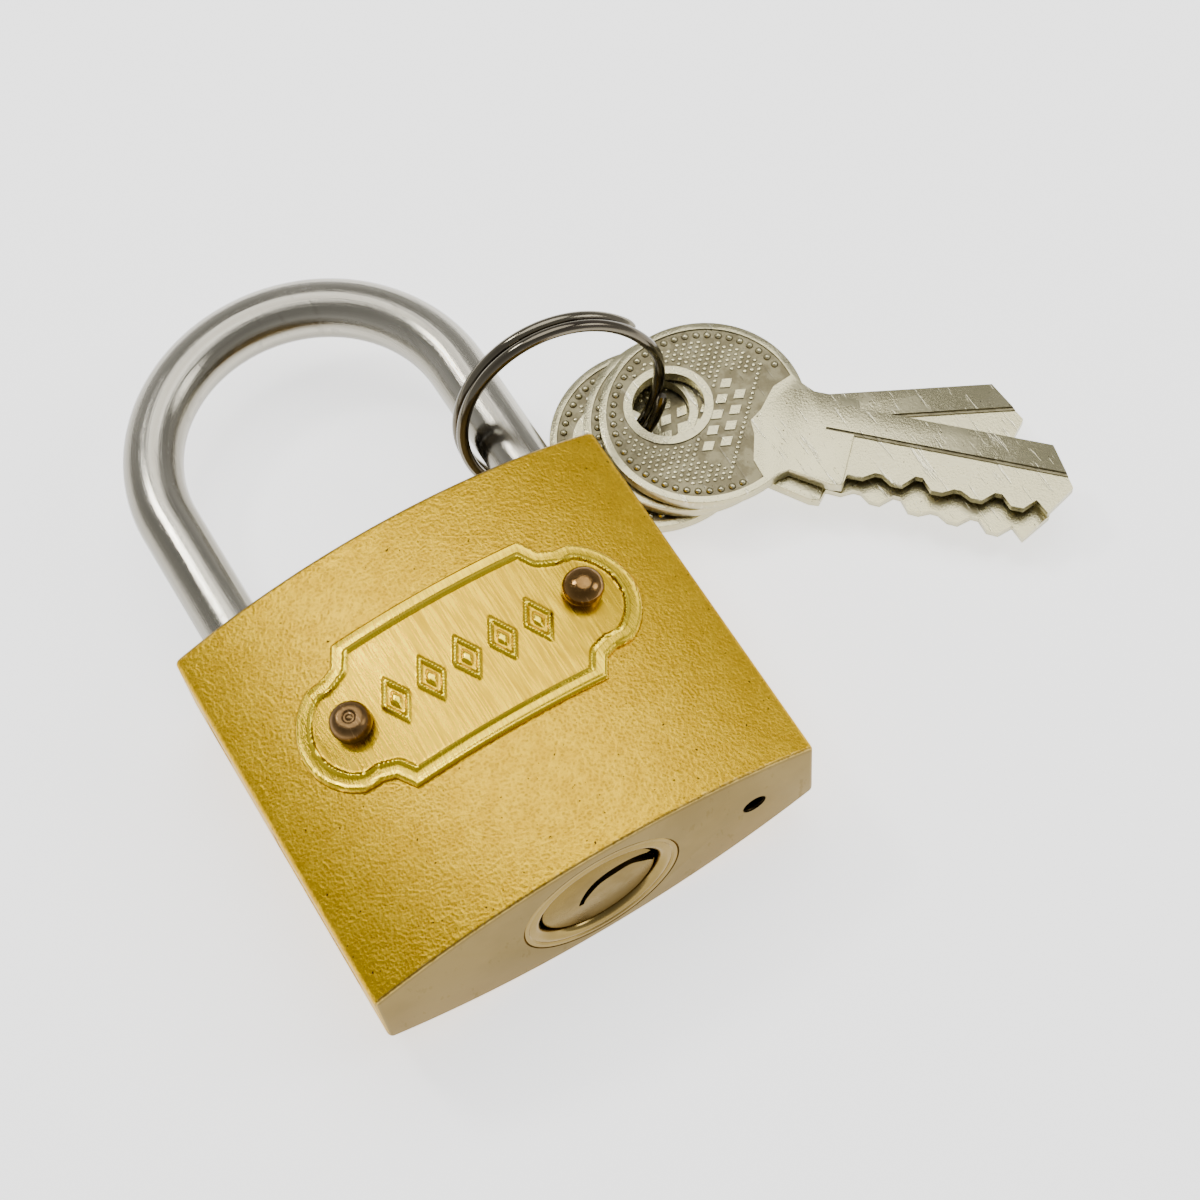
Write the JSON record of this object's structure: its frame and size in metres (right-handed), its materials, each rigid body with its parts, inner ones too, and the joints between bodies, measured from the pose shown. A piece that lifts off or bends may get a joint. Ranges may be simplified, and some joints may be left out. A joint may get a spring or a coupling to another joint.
{
  "type": "padlock",
  "caption": "Small padlock with a crowned body, sliding shackle, pin cylinder, oval nameplate and keys on a split ring.",
  "frame": {"origin": "middle of the crowned back face, on the surface that the lock rests on", "axes": "+X across the body towards the heel leg and the keys, +Y from the keyway face to the shackle, +Z out of the front face"},
  "size_m": [0.0712, 0.0623, 0.0183],
  "materials": {
    "body": "satin gold finish, finely pebbled",
    "chamber_cover": "ground flush",
    "latch_bore_plug": "ground flush",
    "cylinder_housing": "smooth, turned",
    "plug": "smooth, turned",
    "cam": "plain",
    "retaining_clip": "plain",
    "latch": "turned",
    "latch_spring": "wire",
    "shackle": "polished, drawn lengthwise",
    "shackle_spring": "wire",
    "nameplate": "bright, brushed",
    "rivet_left": "dark bronze",
    "rivet_right": "dark bronze, polished",
    "key_ring": "nickel plated",
    "key_1": "nickel plated stamping",
    "key_2": "nickel plated stamping",
    "key_3": "nickel plated stamping",
    "key_pin_1": "turned",
    "driver_pin_1": "turned",
    "pin_spring_1": "wire",
    "key_pin_2": "turned",
    "driver_pin_2": "turned",
    "pin_spring_2": "wire",
    "key_pin_3": "turned",
    "driver_pin_3": "turned",
    "pin_spring_3": "wire",
    "key_pin_4": "turned",
    "driver_pin_4": "turned",
    "pin_spring_4": "wire"
  },
  "bodies": {
    "case": {"body": "body", "cylinder_housing": "cylinder_housing", "chamber_cover": "chamber_cover", "latch_bore_plug": "latch_bore_plug", "nameplate": "nameplate", "rivet_left": "rivet_left", "rivet_right": "rivet_right", "shackle_spring": "shackle_spring", "latch_spring": "latch_spring", "pin_spring_1": "pin_spring_1", "pin_spring_2": "pin_spring_2", "pin_spring_3": "pin_spring_3", "pin_spring_4": "pin_spring_4"},
    "shackle": {"shackle": "shackle"},
    "cylinder_plug": {"plug": "plug", "cam": "cam", "retaining_clip": "retaining_clip"},
    "latch": {"latch": "latch"},
    "key_pin_1": {"key_pin_1": "key_pin_1"},
    "driver_pin_1": {"driver_pin_1": "driver_pin_1"},
    "key_pin_2": {"key_pin_2": "key_pin_2"},
    "driver_pin_2": {"driver_pin_2": "driver_pin_2"},
    "key_pin_3": {"key_pin_3": "key_pin_3"},
    "driver_pin_3": {"driver_pin_3": "driver_pin_3"},
    "key_pin_4": {"key_pin_4": "key_pin_4"},
    "driver_pin_4": {"driver_pin_4": "driver_pin_4"},
    "key_ring": {"key_ring": "key_ring"},
    "key_1": {"key_1": "key_1"},
    "key_2": {"key_2": "key_2"},
    "key_3": {"key_3": "key_3"}
  },
  "joints": [
    {"name": "shackle_lift", "type": "slide", "parent": "case", "child": "shackle", "axis": [0, 1, 0], "range_m": [0, 0.01], "deforming": ["shackle_spring"]},
    {"name": "plug_turn", "type": "hinge", "parent": "case", "child": "cylinder_plug", "pos_m": [0, -0.0165, 0.00785], "axis": [0, 1, 0], "range_deg": [-90, 0]},
    {"name": "latch_slide", "type": "slide", "parent": "case", "child": "latch", "axis": [1, 0, 0], "range_m": [-0.00151, 0], "deforming": ["latch_spring"]},
    {"name": "key_pin_1_slide", "type": "slide", "parent": "cylinder_plug", "child": "key_pin_1", "axis": [0, 0, -1], "range_m": [0, 0.0006]},
    {"name": "key_pin_2_slide", "type": "slide", "parent": "cylinder_plug", "child": "key_pin_2", "axis": [0, 0, -1], "range_m": [0, 0.0006]},
    {"name": "key_pin_3_slide", "type": "slide", "parent": "cylinder_plug", "child": "key_pin_3", "axis": [0, 0, -1], "range_m": [0, 0.0006]},
    {"name": "key_pin_4_slide", "type": "slide", "parent": "cylinder_plug", "child": "key_pin_4", "axis": [0, 0, -1], "range_m": [0, 0.0006]},
    {"name": "driver_pin_1_slide", "type": "slide", "parent": "case", "child": "driver_pin_1", "axis": [-1, 0, 0], "range_m": [0, 0.0015], "deforming": ["pin_spring_1"]},
    {"name": "driver_pin_2_slide", "type": "slide", "parent": "case", "child": "driver_pin_2", "axis": [-1, 0, 0], "range_m": [0, 0.0015], "deforming": ["pin_spring_2"]},
    {"name": "driver_pin_3_slide", "type": "slide", "parent": "case", "child": "driver_pin_3", "axis": [-1, 0, 0], "range_m": [0, 0.0015], "deforming": ["pin_spring_3"]},
    {"name": "driver_pin_4_slide", "type": "slide", "parent": "case", "child": "driver_pin_4", "axis": [-1, 0, 0], "range_m": [0, 0.0015], "deforming": ["pin_spring_4"]},
    {"name": "ring_swing", "type": "hinge", "parent": "shackle", "child": "key_ring", "pos_m": [0.01358, 0.02125, 0.00785], "axis": [0, 1, 0], "range_deg": [0, 20]},
    {"name": "key_1_swing", "type": "hinge", "parent": "key_ring", "child": "key_1", "pos_m": [0.0272, 0.0185, 0.0049], "axis": [0, 0, 1], "range_deg": [-20, 20]},
    {"name": "key_2_swing", "type": "hinge", "parent": "key_ring", "child": "key_2", "pos_m": [0.0262, 0.0194, 0.0035], "axis": [0, 0, 1], "range_deg": [-5, 20]},
    {"name": "key_3_swing", "type": "hinge", "parent": "key_ring", "child": "key_3", "pos_m": [0.0226, 0.0195, 0.0021], "axis": [0, 0, 1], "range_deg": [-4, 25]}
  ],
  "couplings": [
    {"joint": "latch_slide", "follows": "plug_turn", "m_per_rad": 0.00095493}
  ]
}
